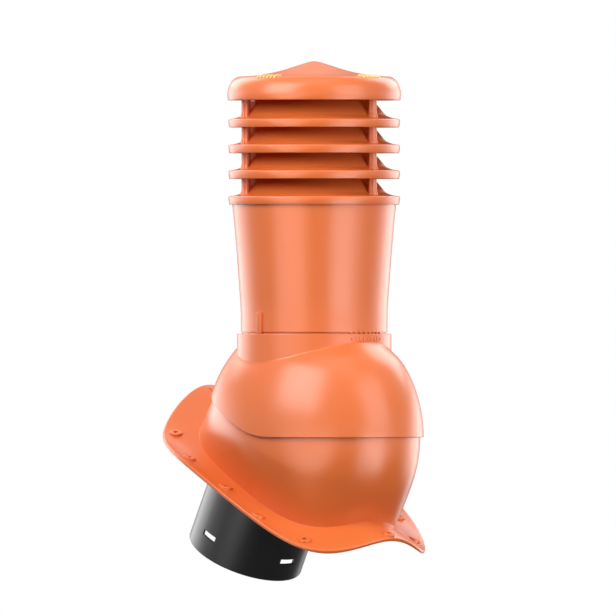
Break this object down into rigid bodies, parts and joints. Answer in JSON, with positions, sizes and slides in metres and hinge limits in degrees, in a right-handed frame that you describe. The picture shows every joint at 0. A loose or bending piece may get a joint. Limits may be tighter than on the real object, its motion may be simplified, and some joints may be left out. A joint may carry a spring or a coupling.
{
  "type": "roof ventilation chimney",
  "caption": "Plastic roof vent: wave-profiled base flashing with a black duct spigot, tilting domed cowl, plumb tube, louvre rings and a conical rain cap.",
  "frame": {"origin": "where the axis of the duct spigot crosses the mean plane of the roof, under the base flashing", "axes": "+Z plumb up along the tube, +X level across the roof's slope, -Y down the slope; the roof plane leans 28.2 degrees about X"},
  "size_m": [0.294, 0.3732, 0.6677],
  "materials": {
    "terracotta_plastic": "satin",
    "black_plastic": "satin",
    "gold_paint": "satin"
  },
  "bodies": {
    "base": {"base_flashing": "terracotta_plastic", "spigot": "black_plastic"},
    "cowl_assembly": {"cowl": "terracotta_plastic", "tube": "terracotta_plastic", "louvre_ring_1": "terracotta_plastic", "louvre_ring_2": "terracotta_plastic", "louvre_ring_3": "terracotta_plastic", "louvre_ring_4": "terracotta_plastic", "rain_cap": "terracotta_plastic"}
  },
  "joints": [
    {"name": "pitch_tilt", "type": "hinge", "parent": "base", "child": "cowl_assembly", "pos_m": [0, -0.07147, 0.02749], "axis": [1, 0, 0], "range_deg": [0, 18]}
  ]
}
